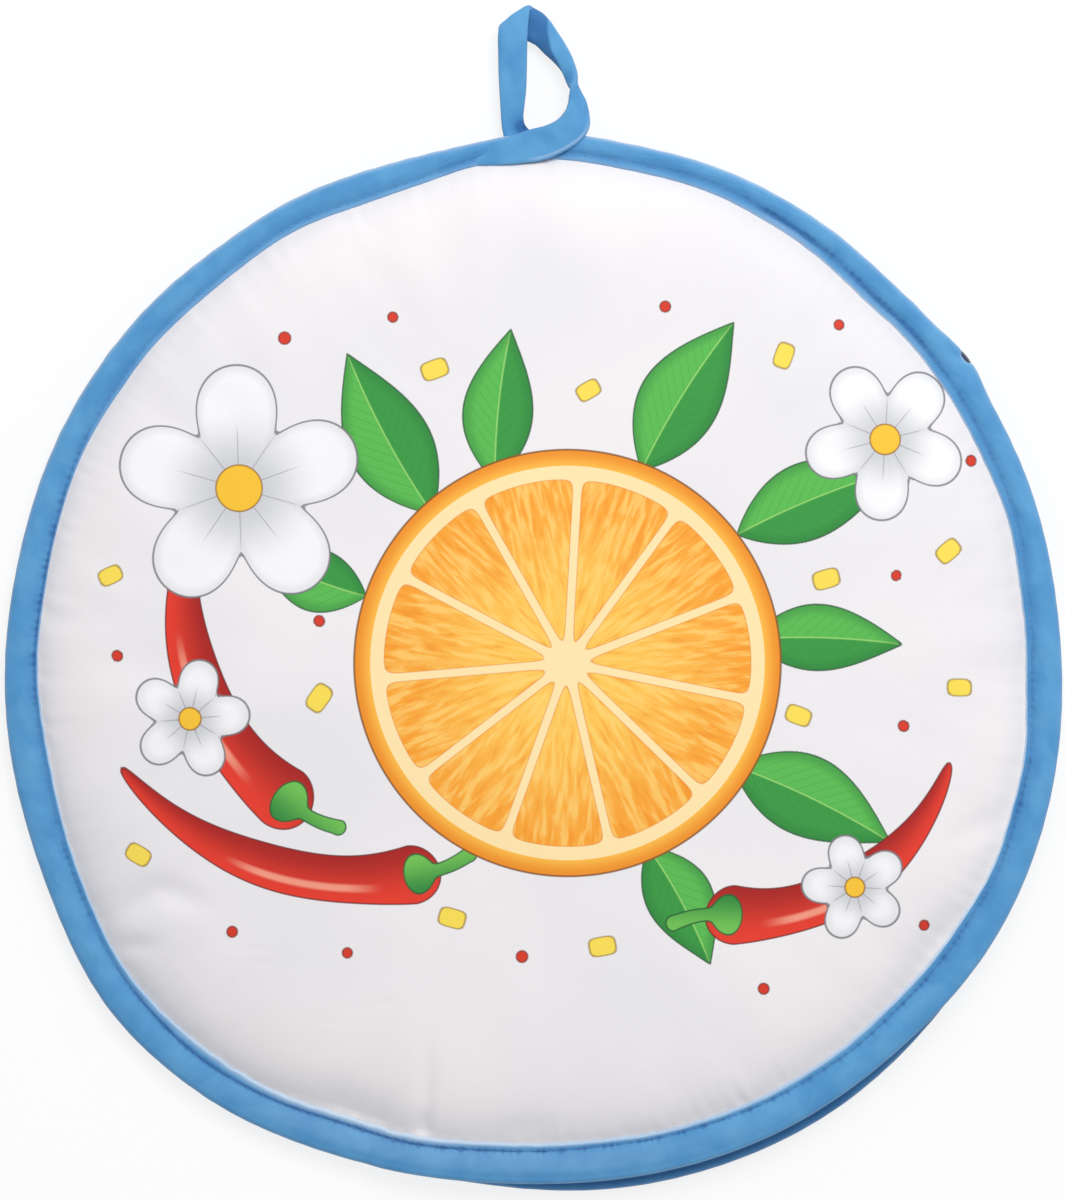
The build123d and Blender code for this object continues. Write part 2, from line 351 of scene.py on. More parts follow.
def cloth_finish(name, light, shade, pitch=0.55, roughness=0.62, crumple=0.05):
    """Woven cloth: two tones drifting over the piece, flecks of yarn, a raised weave and fine crumples.
    Gives the material, its tree, its shader and the colour, for a print to be laid over."""
    material, tree, shader = new_material(name, roughness, 0.2)
    place = stored(tree, "cut")
    weave = put(tree, "Group", {"Place": place, "Pitch": pitch, "Slub": 0.8}, node_tree=weave_group)
    drift = ramp(tree, noise(tree, place, 0.012, 1.5), 0.35, 0.65)
    tone = blend_colour(tree, drift, dye(*light), dye(*shade))
    fleck = calc(tree, "MULTIPLY", weave.outputs["Fleck"], 0.08)
    tone = blend_colour(tree, fleck, tone, dye(198, 199, 205), "MULTIPLY")
    crumpled = bump(tree, noise(tree, place, 0.11, 4.0, 1.2), crumple)
    dress(tree, shader, tone, bump(tree, weave.outputs["Height"], 0.03, Normal=crumpled))
    return material, tree, shader, tone


def back_height(lay):
    """0 over the flat middle, and up to the seam over the last 20 mm, steepest at the tape."""
    return back_seam * (0.9 * fade(lay.inward, 6.5) + 0.1 * (lay.far / lay.far.max()) ** 6)


def no_setback(azimuth):
    """The back panel's tape follows the rim itself."""
    return 0 * azimuth


def under_tape(lay):
    """The cloth's drop to the pinched layers under the tape."""
    return 0.9 * smooth(-lay.inward / 1.2)


def rim_puckers(lay, seed, size):
    """Gathers along a seam: quick ripples that die out in 5 mm, and slower ones that run 16 mm in."""
    quick = 0.30 * ripple(lay.azimuth, seed, 95, 210) * fade(lay.inward, 5)
    slow = 0.42 * ripple(lay.azimuth, seed + 1, 22, 60) * fade(lay.inward, 16)
    return size * (quick + slow) * smooth((lay.inward + 0.5) / 2)


def cloth_piece(name, lay, z, material, face_down=False, **fields):
    """A disc of cloth from a grid, with its flat place in mm kept for the weave."""
    faces = grid_faces(*z.shape)[:, ::-1 if face_down else 1]
    flat = np.stack([lay.x, lay.y, 0 * z], -1).reshape(-1, 3)
    return make_piece(name, np.stack([lay.x, lay.y, z], -1), faces.tolist(), material, cut=flat, **fields)


lay = seam_layout(cover_rings * cover_detail, no_setback)
back_z = back_height(lay) + rim_puckers(lay, 31, 0.8)
back_z -= creases(back_height, no_setback, 7) * smooth(back_z / 0.8)
back_z = np.maximum(back_z, 0.02) + under_tape(lay)
cover_finish = cloth_finish("white cover cloth", *cover_tones)[0]
back_cover = cloth_piece("back_cover_cloth", lay, back_z, cover_finish, face_down=True)
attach(back_cover, "pouch")
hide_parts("back_cover")

# ---------------------------------------------------------------- back padding
# A disc of white polyester wadding, cut a little smaller than the cover and laid on it: 4.6 mm thick
# in the middle, and pinched thin where the rim is sewn through.
pad_rings = 60


def wadding_finish():
    """Loose white fibres: a fine tangled noise raises the surface and mottles it."""
    material, tree, shader = new_material("wadding", 0.9, 0.4, 0.1)
    fibre = noise(tree, stored(tree, "cut"), 0.9, 6.0, 2.5)
    tone = blend_colour(tree, ramp(tree, fibre, 0.35, 0.65), dye(246, 244, 238), dye(226, 224, 217))
    dress(tree, shader, tone, bump(tree, fibre, 0.4, 0.8))
    return material


wadding = wadding_finish()


def pad_piece(name, setback, top, bottom):
    """A closed pad: the same disc grid twice, as its upper and its lower face, joined at the rim."""
    lay = seam_layout(pad_rings, setback, 1.0)
    upper, lower = top(lay), bottom(lay)
    edge = np.zeros(upper.shape, bool)
    edge[[0, -1], :] = edge[:, [0, -1]] = True
    levels = [np.where(edge, (upper + lower) / 2, level) for level in (upper, lower)]
    points = np.concatenate([np.stack([lay.x, lay.y, z], -1).reshape(-1, 3) for z in levels])
    number = np.arange(edge.size)
    under = np.where(edge.ravel(), number, number + edge.size)
    faces = grid_faces(*edge.shape)
    faces = np.concatenate([faces, under[faces][:, ::-1]])
    used, renumbered = np.unique(faces, return_inverse=True)
    points = points[used]
    return make_piece(name, points, renumbered.reshape(-1, 4).tolist(), wadding, cut=points)


def back_pad_bottom(lay):
    """Clear of the cover, and of its gathers near the seam."""
    return back_height(lay) + 0.55 + 1.2 * smooth(lay.inward / 3) * fade(lay.inward, 18)


def back_pad_top(lay):
    """Nearly level: the pad thins from 4.6 mm to nothing as its underside rises to the seam."""
    return back_height(lay) + 0.9 + 4.25 * (1 - fade(lay.inward, 8))


back_padding = pad_piece("back_padding", no_setback, back_pad_top, back_pad_bottom)
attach(back_padding, "pouch")
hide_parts("back_batting")

# ---------------------------------------------------------------- back lining
# The inside of the pouch: thin white cloth laid over the wadding, a little loose and rippled, and
# held under the tape all round.
lining_finish = cloth_finish("lining cloth", (236, 236, 238), (226, 226, 230), 0.6, 0.75, 0.12)[0]
lining_rings = 90


def swell(x, y, seed, shortest, longest, waves=26):
    """A sum of plane waves in random directions, each from shortest to longest mm long, about 1 high."""
    draw = np.random.default_rng(seed)
    turn = draw.uniform(0, np.pi, waves)
    number = 2 * np.pi / draw.uniform(shortest, longest, waves)
    phase = draw.uniform(0, 2 * np.pi, waves)
    size = draw.normal(0, 1, waves) / np.sqrt(waves)
    along = x[..., None] * (number * np.cos(turn)) + y[..., None] * (number * np.sin(turn))
    return np.cos(along + phase) @ size


def back_lining_height(lay):
    """Half a millimetre over the wadding, with slow loose waves."""
    return back_pad_top(lay) + 0.45 + 0.22 * swell(lay.x, lay.y, 51, 16, 55) * smooth(lay.inward / 12)


lay = seam_layout(lining_rings, no_setback)
back_lining_z = back_lining_height(lay) + rim_puckers(lay, 61, 0.5)
back_lining = cloth_piece("back_lining_cloth", lay, back_lining_z, lining_finish)
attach(back_lining, "pouch")
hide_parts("back_lining")

# ---------------------------------------------------------------- back lip tape
# Blue bias tape folded over the raw edge of the back panel, across the mouth only. Its ends are
# tucked under the rim's own tape. One line of stitches runs about 2 mm in from each inner edge.
mouth_azimuth = 270
mouth_half_angle = 72
notch_azimuth = 342.15
stitch_pitch = 0.99
# How the seam, and the painted shade and highlight along it, vary along the rim: azimuth, half width and
# height, and a power where it isn't 2.
needle_wander = (
    (355.4, 36, 0.9, 3), (263.4, 16, 0.7), (175.4, 8, 1.0), (198.4, 26, 0.6, 4), (112.4, 18, -1.1),
)
pull_hard = (
    (3.4, 10, 0.2), (345.4, 18, 0.2), (115.4, 14, 0.7), (151.4, 6, 0.35), (172.4, 10, 0.3),
    (204.4, 18, 0.6), (236.4, 22, 0.5), (269.4, 13, 0.35), (291.4, 6, 0.4), (305.4, 4, 0.25),
)
painted_crease_shade_rows = ((184.4, 24, 0.6, 6), (6.4, 4.2, 0.5, 4), (350.4, 6.5, 0.4, 4))
lip_lift_and_highlight = ((196.4, 52, 0.75), (286.4, 40, 0.75), (350.4, 24, 0.5), (136.4, 18, 0.35))
edge_radius = 2.1
tape_line = 148


def lip_setback(azimuth):
    """How far the front lip's edge stands back from the back lip's, which shows beyond it there."""
    return 3.9 * around(azimuth, 239.4, 28, 4)


def stitch_inset(azimuth):
    """How far from the tape's inner edge the needle ran: 1.7 mm, wandering to 0.6 and to 3."""
    return 1.7 + bumps(azimuth, needle_wander)


def stitch_groove(azimuth):
    """Half the width of the groove that the stitches pull into the tape."""
    return 0.45 + 0.4 * around(azimuth, 0.4, 20)


def pull_share(azimuth):
    """How tight the stitches lie along the rim: 0.08, and up to 1 where the machine pulled hardest."""
    return np.clip(0.08 + bumps(azimuth, pull_hard), 0, 1)


def lift_and_highlight_share(azimuth):
    """How far the tape's folded inner edge stands up, and how strong the painted highlight along it is."""
    return np.clip(0.08 + bumps(azimuth, lip_lift_and_highlight), 0, 1)


def painted_crease_shade_share(azimuth):
    """Where a painted shade line, with a painted highlight beside it, stands for the stitches drawn into one
    unbroken crease: a long one, and two short folds.
    """
    return bumps(azimuth, painted_crease_shade_rows)


def stitch_drift(azimuth, seed):
    """How far a stitch is off its even place, in stitches: the drift of a hand."""
    return 0.24 * ripple(azimuth, seed, 40, 90)


def stitch_wave(azimuth, seed):
    """How hard the thread pulls the tape in: most at each needle hole, and never quite evenly."""
    pull = 0.5 + 0.5 * np.cos(2 * np.pi * (azimuth / stitch_pitch + stitch_drift(azimuth, seed)))
    return np.clip(pull + 0.35 * ripple(azimuth, seed + 1, 60, 170), 0, 1.3)


def stitch_sink(wave, pull):
    """How far the stitch line sinks into the tape where the thread pulls."""
    return pull * (0.26 + 0.26 * wave)


def tape_crown(side, width, inset):
    """The tape's rise between its stitch line and its outer edge."""
    start = inset + 0.3
    return 0.85 * np.sin(np.pi * np.clip((side - start) / (width - start), 0, 1)) ** 0.9


def tape_section(azimuth, width, high, low, wave, folds, ragged):
    """One line of points across the tape at each place along it: from the inner edge over the top,
    round the outer edge and back along the underside. Gives the distance in from the outer edge,
    the height, and how much painted shade and painted highlight each point gets."""
    inset, pull, lift_and_highlight, painted_crease_shade = (of(azimuth) for of in (stitch_inset, pull_share, lift_and_highlight_share, painted_crease_shade_share))
    level = inset + 1.4
    side = np.concatenate([
        inset * [0.0, 0.05, 0.17, 0.33, 0.50, 0.67, 0.84, 1.0], inset + [0.3, 0.6, 0.95], level,
        level + (width - edge_radius - level) * np.linspace(0, 1, 7)[1:],
    ], 1)
    turn = np.radians(np.linspace(0, 180, 13)[1:-1])
    bend = width - edge_radius * (1 - np.sin(turn))
    lip = -0.55 * (1 - np.sqrt(np.clip(1 - (1 - np.clip(side / 0.55, 0, 1)) ** 2, 0, 1)))
    lip += (0.06 + 0.14 * lift_and_highlight) * bell(side, 0.6, 0.4)
    dip = bell(side, inset, stitch_groove(azimuth))
    sunk = dip * (0.06 + stitch_sink(wave, pull)) + 0.16 * wave * pull * bell(side, inset + 1, 0.8)
    rise = tape_crown(side, width, inset) + lip - sunk + 0.12 * folds
    top, under = high + rise, low - rise
    middle, half = (top[:, -1:] + under[:, -1:]) / 2, (top[:, -1:] - under[:, -1:]) / 2
    edge = middle + half * np.cos(turn) + 0.10 * ragged * np.sin(turn)
    # Where the mouth lies, the side of the rim that faces the light, and where the tape's inner lip faces the
    # light.
    mouth_side, lit_side = around(azimuth, 213.4, 55, 4), around(azimuth, 46.4, 62, 4)
    lip_facing_light = around(azimuth, 219.4, 56, 6)
    # Painted shade: in the stitch line and beside it, along a drawn crease, on the tape's outer part near
    # azimuth 216, and under the edges of the folds.
    deep = dip * pull * (0.45 + 0.75 * np.clip(wave, 0, 1) ** 2)
    deep += 0.5 * pull * np.clip(wave, 0, 1.2) ** 3 * bell(side, inset + 0.6, 0.7, 1)
    deep += painted_crease_shade * bell(side, inset, 0.75) + (0.34 - 0.28 * mouth_side) * bell(side, inset + 0.5, 2.6)
    deep += 0.3 * around(azimuth, 216.4, 36, 4) * smooth((side / width - 0.6) / 0.2)
    deep += 0.22 * (1 - lip_facing_light) * (1 - lit_side) * bell(side, 0.7, 0.35)
    # Painted highlight: on the raised inner edge, beside a drawn crease, and where the tape stands highest.
    highlight_step = 1 + np.exp((side - 0.40 - 0.55 * lip_facing_light) / (0.09 + 0.13 * lip_facing_light))
    highlight_paint = (1 - 0.1 * lip_facing_light) * lift_and_highlight / highlight_step
    highlight_paint += 0.20 * lit_side * bell(side, 0.5, 0.9) + 0.4 * painted_crease_shade * bell(side, 1.35, 0.65)
    highlight_paint += 0.16 * around(azimuth, 208.4, 34, 4) * bell(side / width, 0.45, 0.30, 4)
    # Painted shade on the outer bend away from the mouth, and a painted highlight along it, paler on the lit
    # side and across the mouth.
    bend_shade = (1 - mouth_side) * 0.45 * np.sin(turn) ** 8
    bend_highlight = (1 - mouth_side) * (0.22 + 0.28 * lit_side) * bell(turn, 1.3, 0.8)
    bend_highlight += mouth_side * 0.25 * bell(turn, 1.1, 0.35)

    def across(upper, bent, lower):
        """The whole way across: over the top, round the outer edge and back underneath."""
        return np.concatenate([upper, bent, lower[:, ::-1]], 1)

    inward, height = across(side, bend, side), across(top, edge, under)
    return width - inward, height, across(deep, bend_shade, deep), across(highlight_paint, bend_highlight, highlight_paint)


def tube_piece(name, rings, closed, **fields):
    """A closed skin over rings of points, in the tape's blue: joined end to start, or closed by a fan
    at each end. The fields are nought in the middle of a fan."""
    rows, columns = rings.shape[:2]
    faces = grid_faces(rows, columns, closed, True).tolist()
    points = rings.reshape(-1, 3)
    if not closed:
        points = np.concatenate([points, rings[:1].mean(1), rings[-1:].mean(1)])
        first, last = np.arange(columns), np.arange(columns) + (rows - 1) * columns
        start, end = np.full(columns, rows * columns), np.full(columns, rows * columns + 1)
        faces += np.stack([np.roll(first, -1), first, start], 1).tolist()
        faces += np.stack([last, np.roll(last, -1), end], 1).tolist()
    for field, values in fields.items():
        flat = values.reshape(rows * columns, *values.shape[2:])
        fields[field] = np.concatenate([flat, np.zeros((len(points) - len(flat), *flat.shape[1:]))])
    return make_piece(name, points, faces, blue_tape, **fields)


def tape_ring(name, azimuth, outer, width, high, low, lift, closed, seed, gap=0):
    """Tape folded over an edge that runs round the middle: its section at every azimuth. What varies
    along it is given as columns."""
    along = tape_line * np.radians(azimuth)
    across = np.linspace(0, 1, 18)
    folds = swell(along + 14 * across, 30 * across + 0 * along, seed + 2, 5, 22)
    folds = folds * smooth((across - 0.2) / 0.5)
    back, height, deep, highlight_paint = tape_section(
        azimuth, width, high, low, stitch_wave(azimuth, seed), folds, ripple(azimuth, seed + 3, 30, 120)
    )
    # Painted shadow, given as gap, over the top and outer half of the section.
    deep[:, :deep.shape[1] // 2 + 1] += gap
    far = outer - back + 0.12 * highlight_paint * ripple(azimuth, seed + 4, 60, 150)
    x, y = far * np.cos(np.radians(azimuth)), far * np.sin(np.radians(azimuth))
    rings = np.stack([x, y, height + lift(y)], -1)
    steps = (np.diff(rows, axis=1, prepend=rows[:, :1]) for rows in (back, height))
    flat = np.stack([along + 0 * far, np.cumsum(np.hypot(*steps), 1), 0 * far], -1)
    rings, flat, deep, highlight_paint = (rows[:, ::-1] for rows in (rings, flat, deep, highlight_paint))
    return tube_piece(name, rings, closed, cut=flat, crease=deep, brim=highlight_paint)


def tape_finish():
    """Dyed cotton tape: mottled blue, with painted shade down in the stitch line, nearly black painted shadow
    inside an open gap, and a pale painted highlight along its folded edge."""
    material, tree, shader = new_material("blue tape", 0.62, 0.15, 0.2)
    place, crease, brim = stored(tree, "cut"), stored(tree, "crease", "Fac"), stored(tree, "brim", "Fac")
    weave = put(tree, "Group", {"Place": place, "Pitch": 0.5, "Slub": 0.7}, node_tree=weave_group)
    mottle = ramp(tree, noise(tree, place, 0.09, 3.5, 0.4), 0.3, 0.7)
    tone = blend_colour(tree, mottle, dye(80, 149, 203), dye(96, 163, 212))
    fleck = calc(tree, "MULTIPLY", weave.outputs["Fleck"], 0.14)
    tone = blend_colour(tree, fleck, tone, dye(206, 214, 230), "MULTIPLY")
    # Painted shade: up to 0.72 of the way to deep blue where the shade field rises to 1.1.
    shade = calc(tree, "MULTIPLY", ramp(tree, crease, 0.0, 1.1), 0.72)
    tone = blend_colour(tree, shade, tone, dye(34, 92, 156))
    # Painted shadow: past 1.5 the same field turns the tape nearly black, in an open gap or a deep tuck.
    tone = blend_colour(tree, ramp(tree, crease, 1.5, 2.0), tone, dye(8, 20, 54))
    # Painted highlight: the pale field lightens the tape towards near white along its lit edges.
    tone = blend_colour(tree, ramp(tree, brim, 0.0, 1.0, 0.0, 0.9), tone, dye(220, 233, 246))
    dress(tree, shader, tone, bump(tree, weave.outputs["Height"], 0.05))
    return material


blue_tape = tape_finish()
back_lip_high = 5.2
rim_low = 2.7


def level(y):
    """The back panel lies level."""
    return 0 * y


lip_ends = mouth_azimuth - mouth_half_angle - 2, mouth_azimuth + mouth_half_angle + 1.8
lip_azimuth = np.linspace(*lip_ends, 560)[:, None]
corner_gap = around(lip_azimuth, notch_azimuth, 1.0, 4)
under_lip = smooth(lip_setback(lip_azimuth) / 2)
# Its top and outer side get painted shadow: nearly black in the open gap at the mouth's corner, and dark
# where it shows beyond the front lip.
back_lip_tape = tape_ring(
    "back_lip_tape", lip_azimuth, rim_radius(lip_azimuth) + 0.35 * corner_gap - 0.25,
    tape_width(lip_azimuth) - 0.6, back_lip_high, rim_low, level, False, 81,
    gap=2.2 * corner_gap + 0.62 * under_lip,
)
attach(back_lip_tape, "pouch")
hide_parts("back_mouth_binding")

# ---------------------------------------------------------------- front lining
# The same thin cloth on the front panel's inner side. Past the chord between the mouth's corners
# the front panel rises a little, because the open lip stands off the back one.
fold_y = -47.125
gape_slope = math.tan(math.radians(3.5))
front_top = 17.4


def gape(y):
    """The lip's rise: tan 3.5 degrees times the distance past the chord, rounded off over 9 mm."""
    past = (fold_y - y) / 9
    return gape_slope * 9 * (np.maximum(past, 0) + np.log1p(np.exp(-np.abs(past))))


def mouth_share(azimuth):
    """0 where front and back are sewn together and 1 in the mouth, with a smooth step at its corners."""
    gap = np.abs((azimuth - mouth_azimuth + 180) % 360 - 180)
    return smooth((mouth_half_angle + 1.5 - gap) / 5)


def front_seam(azimuth):
    """Height of the cloth at the front's seam: on the pinched layers, or on the front lip alone."""
    return 5.95 + 1.8 * mouth_share(azimuth)


def front_height(lay):
    """The padded front: steep at the seam, within 20 mm nearly flat, and highest in the middle."""
    edge = lay.far + lay.inward
    slope = 0.74 * fade(lay.inward, 8.5) + 0.26 * np.clip(lay.far / edge, 0, 1) ** 2
    return front_top - (front_top - front_seam(lay.azimuth)) * slope + gape(lay.y)


def front_lining_height(lay):
    """Under the wadding, 5.8 mm below the front, and close to it at the seam."""
    below = 1.4 + 4.4 * (1 - fade(lay.inward, 7))
    return front_height(lay) - below + 0.25 * swell(lay.x, lay.y, 71, 14, 50) * smooth(lay.inward / 12)


lay = seam_layout(lining_rings, lip_setback)
front_lining_z = front_lining_height(lay) + rim_puckers(lay, 65, 0.5)
front_lining = cloth_piece("front_lining_cloth", lay, front_lining_z, lining_finish, face_down=True)
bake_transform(front_lining)
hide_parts("front_lining", "flap_lining")

# ---------------------------------------------------------------- front padding
# A second disc of wadding, 3.3 mm thick in the middle, between the printed cover and the lining. It
# is dented where the pouch was folded and packed.
loop_azimuth = 36.4
# Each dent: right and up of the middle with the loop on top, half length, half width, turn, depth.
dents = (
    (-113, -66.5, 7, 4, 35, 1.2), (-102, -64.5, 9, 4, -18, 1.2), (-113.5, -79.5, 6, 3, 5, 1.1),
    (-30.5, -121, 12, 2.4, 86, 1.2), (-31.5, -131, 4, 2.6, 86, 0.9), (-52, -126, 17, 6, -22, 1.1),
    (128, -45, 8, 4, 24, 0.9),
    (113, -79, 9, 4.5, 55, 0.9), (-137, 14, 6, 3, 0, 0.6), (-2, -132, 12, 3.5, 2, 0.5),
    (-81, -80, 6, 0.8, 2, 0.14), (-78, -84, 5, 0.7, -4, 0.12), (-86, -77, 4, 0.7, 6, 0.12),
    (-48, -97, 6, 0.7, 8, 0.13), (-57, -101, 5, 0.6, 4, 0.11), (-42, -95, 4, 0.6, 3, 0.11),
    (97, 97, 9, 2.5, -46, 0.4), (70, 121, 9, 2.5, -26, 0.4), (-100, 95, 9, 3, 44, 0.45),
    (-60, 122, 8, 2.5, 25, 0.35), (20, 136, 8, 2.2, -4, 0.4), (139, 30, 8, 2.6, -78, 0.4),
)


def hung(x, y):
    """A place seen with the loop on top: how far right and how far up of the middle."""
    turn = math.radians(loop_azimuth)
    return x * math.sin(turn) - y * math.cos(turn), x * math.cos(turn) + y * math.sin(turn)


def turned(right, up, at, turn):
    """Places measured from a point, along and across a direction."""
    c, s = math.cos(math.radians(turn)), math.sin(math.radians(turn))
    across_right, across_up = right - at[0], up - at[1]
    return across_right * c + across_up * s, across_up * c - across_right * s


def dent_depth(lay):
    """The sum of the dents, each an oval bell: exp(-(p / length)^2 - (q / width)^2)."""
    depth, place = 0, hung(lay.x, lay.y)
    for right, up, length, width, turn, deep in dents:
        p, q = turned(*place, (right, up), turn)
        depth = depth + deep * np.exp(-((p / length) ** 2) - (q / width) ** 2)
    return depth


def front_pad_top(lay):
    """Clear of the cover and of the dents in it."""
    clear = 0.9 + 1.0 * smooth(lay.inward / 8) + dent_depth(lay)
    return front_height(lay) - np.minimum(clear, 3.4)


def front_pad_bottom(lay):
    """0.6 mm above the lining."""
    return front_lining_height(lay) + 0.6 * smooth((lay.inward + 1) / 5)


front_padding = pad_piece("front_padding", lip_setback, front_pad_top, front_pad_bottom)
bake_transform(front_padding)
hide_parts("front_batting", "flap_batting")

# ---------------------------------------------------------------- front cover
# The printed face: white polyester with a dye print of a cut orange, blossom, leaves and chillies.
# It puffs up off the seam, and has the few dents that a stuffed, folded and posted pouch keeps.
lay = seam_layout(cover_rings * cover_detail, lip_setback)
front_z = front_height(lay) + rim_puckers(lay, 35, 0.45)
front_z += 0.20 * swell(lay.x, lay.y, 37, 35, 110) * smooth(lay.inward / 25)
front_z += creases(front_height, lip_setback, 9) * smooth(lay.inward / 3)
front_z -= dent_depth(lay) * smooth(lay.inward / 1.5) + under_tape(lay)


def nearest(shapes):
    """Of several drawn shapes, each a distance with its other fields, the fields of the closest one."""
    stack = np.stack([np.stack(fields) for fields in shapes])
    first = stack[:, 0].argmin(0)
    return np.take_along_axis(stack, first[None, None], 0)[0]


def soft_least(distances, blur):
    """The smallest of several distances, its kinks rounded off: -blur log(sum exp(-d / blur))."""
    return -blur * np.log(np.exp(-np.clip(np.stack(distances) / blur, -40, 40)).sum(0) + 1e-30)


def leaf(right, up, at, turn, length, width):
    """A pointed leaf: its half width is width sin(pi p / length). Gives distance, and the place along
    and across it for its veins."""
    p, q = turned(right, up, at, turn)
    q = q + width * 0.5 * (np.clip(p / length, 0, 1) - 0.5) ** 2
    share = np.clip(p / length, 0, 1)
    half = width * np.sin(np.pi * share**0.85)
    beyond = np.maximum(np.maximum(-p, p - length), 0)
    distance = np.hypot(np.maximum(np.abs(q) - half, 0), beyond) + np.minimum(np.abs(q) - half, 0) * 0.8
    return distance, p, q


def chilli(right, up, at, bend, start, sweep, width):
    """A chilli along an arc round a point: half width width (1 - s)^0.6, blunt at the stalk.
    Gives distance, the place across from -1 to 1, and the share of the length."""
    p, q = right - at[0], up - at[1]
    turn = (np.degrees(np.arctan2(q, p)) - start) * np.sign(sweep)
    turn = (turn + 180) % 360 - 180
    share = turn / abs(sweep)
    held = np.clip(share, 0, 1)
    half = 0.75 + width * (1 - held) ** 0.65 * (1 - 0.1 * np.sin(9 * held))
    off = np.hypot(p, q) - bend
    beyond = (share - held) * math.radians(abs(sweep)) * bend
    return np.hypot(off, beyond) - half, np.clip(off / (half + 0.4), -2, 2), share


def stalk(right, up, at, bend, start, sweep, width):
    """The green cap and bent stalk at a chilli's blunt end. Gives distance and the place across."""
    turn = math.radians(start)
    foot = (at[0] + bend * math.cos(turn), at[1] + bend * math.sin(turn))
    p, q = turned(right, up, foot, start - 90 * np.sign(sweep))
    cap = (np.hypot((p - 0.30 * width) / 0.62, q / (0.86 - 0.02 * np.clip(p, 0, 9))) - 0.92 * width) * 0.7
    held = np.clip((p - 0.7 * width) / 12, 0, 1)
    line = np.hypot(p - 0.7 * width - held * 12, q - 3.0 * held**2) - 1.5 - 0.8 * held
    soft = np.minimum(cap, line) - 0.6 * np.exp(-np.abs(cap - line) / 1.2)
    return soft, q / width, 0 * p


def cut_orange(right, up, at, radius, slices):
    """A round of fruit: peel, pith and slices. The slices are the soft smallest of the distances to
    their two skins, to the pith outside them and to the core. Gives distance, slice and reach."""
    p, q = right - at[0], up - at[1]
    far = np.hypot(p, q)
    half = math.pi / slices
    angle = (np.arctan2(q, p) + 0.2) % (2 * half) - half
    skin = far * np.sin(half - np.abs(angle)) - 1.25
    pulp = soft_least([skin, 0.86 * radius - far, far - 0.085 * radius], 1.2)
    return far - radius, -pulp, far / radius


def slice_places(right, up, at, slices):
    """Where a point lies in its slice of the fruit: across, outward, and a number of its own for each
    slice."""
    p, q = right - at[0], up - at[1]
    far, turn = np.hypot(p, q), np.arctan2(q, p) + 0.2
    half = math.pi / slices
    return far * np.sin(turn % (2 * half) - half), far, 7.3 * np.floor(turn / (2 * half))


def blossom(right, up, at, size, turn):
    """Five round petals about a point. Gives distance, a field that is nought along the petals'
    middles and joins, and the share of the way out."""
    petals = []
    for number in range(5):
        p, q = turned(right, up, at, turn + 72 * number)
        wide = np.clip(0.92 + 0.42 * (p / size - 0.5), 0.5, 1.25)
        reach = np.hypot((p - 0.54 * size) / (0.47 * size), q / (0.345 * size * wide))
        petals.append((reach - 1) * 0.35 * size)
    p, q = turned(right, up, at, turn)
    far = np.hypot(p, q)
    return soft_least(petals, 0.9), far * np.sin(5 * np.arctan2(q, p)) / 5, far / size


def disc_at(right, up, spots):
    """The distance to the nearest of several small discs, each right, up and radius."""
    return np.min([np.hypot(right - a, up - b) - size for a, b, size in spots], 0)


def chip(right, up, chips):
    """The distance to the nearest of several rounded oblongs, each right, up, half length and turn:
    the fourth root of (p / long)^4 + (q / wide)^4, less 1, times the width."""
    found = []
    for a, b, size, turn in chips:
        p, q = turned(right, up, (a, b), turn)
        reach = ((p / (size + 0.8)) ** 4 + (q / (0.62 * size + 0.8)) ** 4) ** 0.25
        found.append((reach - 1) * (0.7 * size + 0.8))
    return np.min(found, 0)


right, up = (place.ravel() for place in hung(lay.x, lay.y))
leaves = (
    ((-30, 44), 118, 52, 12), ((-12, 54), 84, 44, 10), ((30, 58), 58, 50, 11.5), ((58, 40), 22, 50, 11),
    ((-48, 20), 158, 34, 9), ((58, -26), -26, 50, 11.5), ((34, -50), -62, 38, 9.5), ((62, 10), -2, 44, 9.5),
)
chillies = (
    ((-26, 22), 74, 232, -74, 8.4), ((-50, 28), 88, 280, -60, 7.6), ((60, -8), 62, -92, 74, 7.6),
)
blossoms = (((-84, 52), 35, 20), ((101, 66), 23, 50), ((-98, -14), 17, 5), ((92, -62), 15, 33))
orange_at, orange_radius, orange_slices = (10, 2), 61, 11
chips = (
    (-28, 86, 3.0, 20), (16, 80, 2.6, 30), (72, 90, 2.8, 70), (84, 26, 3.0, 15), (119, 34, 2.8, 40),
    (122, -5, 2.6, 0), (76, -13, 2.8, -20), (20, -79, 3.0, 10), (-23, -71, 3.0, -15), (-61, -8, 3.2, 55),
    (-121, 27, 2.6, 25), (-113, -53, 2.8, -30),
)
berries = (
    (-71, 95, 1.8), (-40, 101, 1.5), (38, 104, 1.6), (88, 99, 1.5), (126, 60, 1.6), (104, 27, 1.5),
    (106, -16, 1.6), (-3, -82, 1.7), (66, -91, 1.6), (-61, 14, 1.6), (-119, 4, 1.6), (-86, -75, 1.6),
    (112, -73, 1.5), (-53, -81, 1.5),
)
drawn = {
    "leaf": nearest([leaf(right, up, *shape) for shape in leaves]),
    "chilli": nearest([chilli(right, up, *shape) for shape in chillies]),
    "stalk": nearest([stalk(right, up, *shape) for shape in chillies]),
    "orange": np.stack(cut_orange(right, up, orange_at, orange_radius, orange_slices)),
    "slice": np.stack(slice_places(right, up, orange_at, orange_slices)),
    "petal": nearest([blossom(right, up, *shape) for shape in blossoms]),
    "seed": np.stack([
        disc_at(right, up, [(*at, size * 0.19) for at, size, turn in blossoms]),
        chip(right, up, chips), disc_at(right, up, berries),
    ]),
}


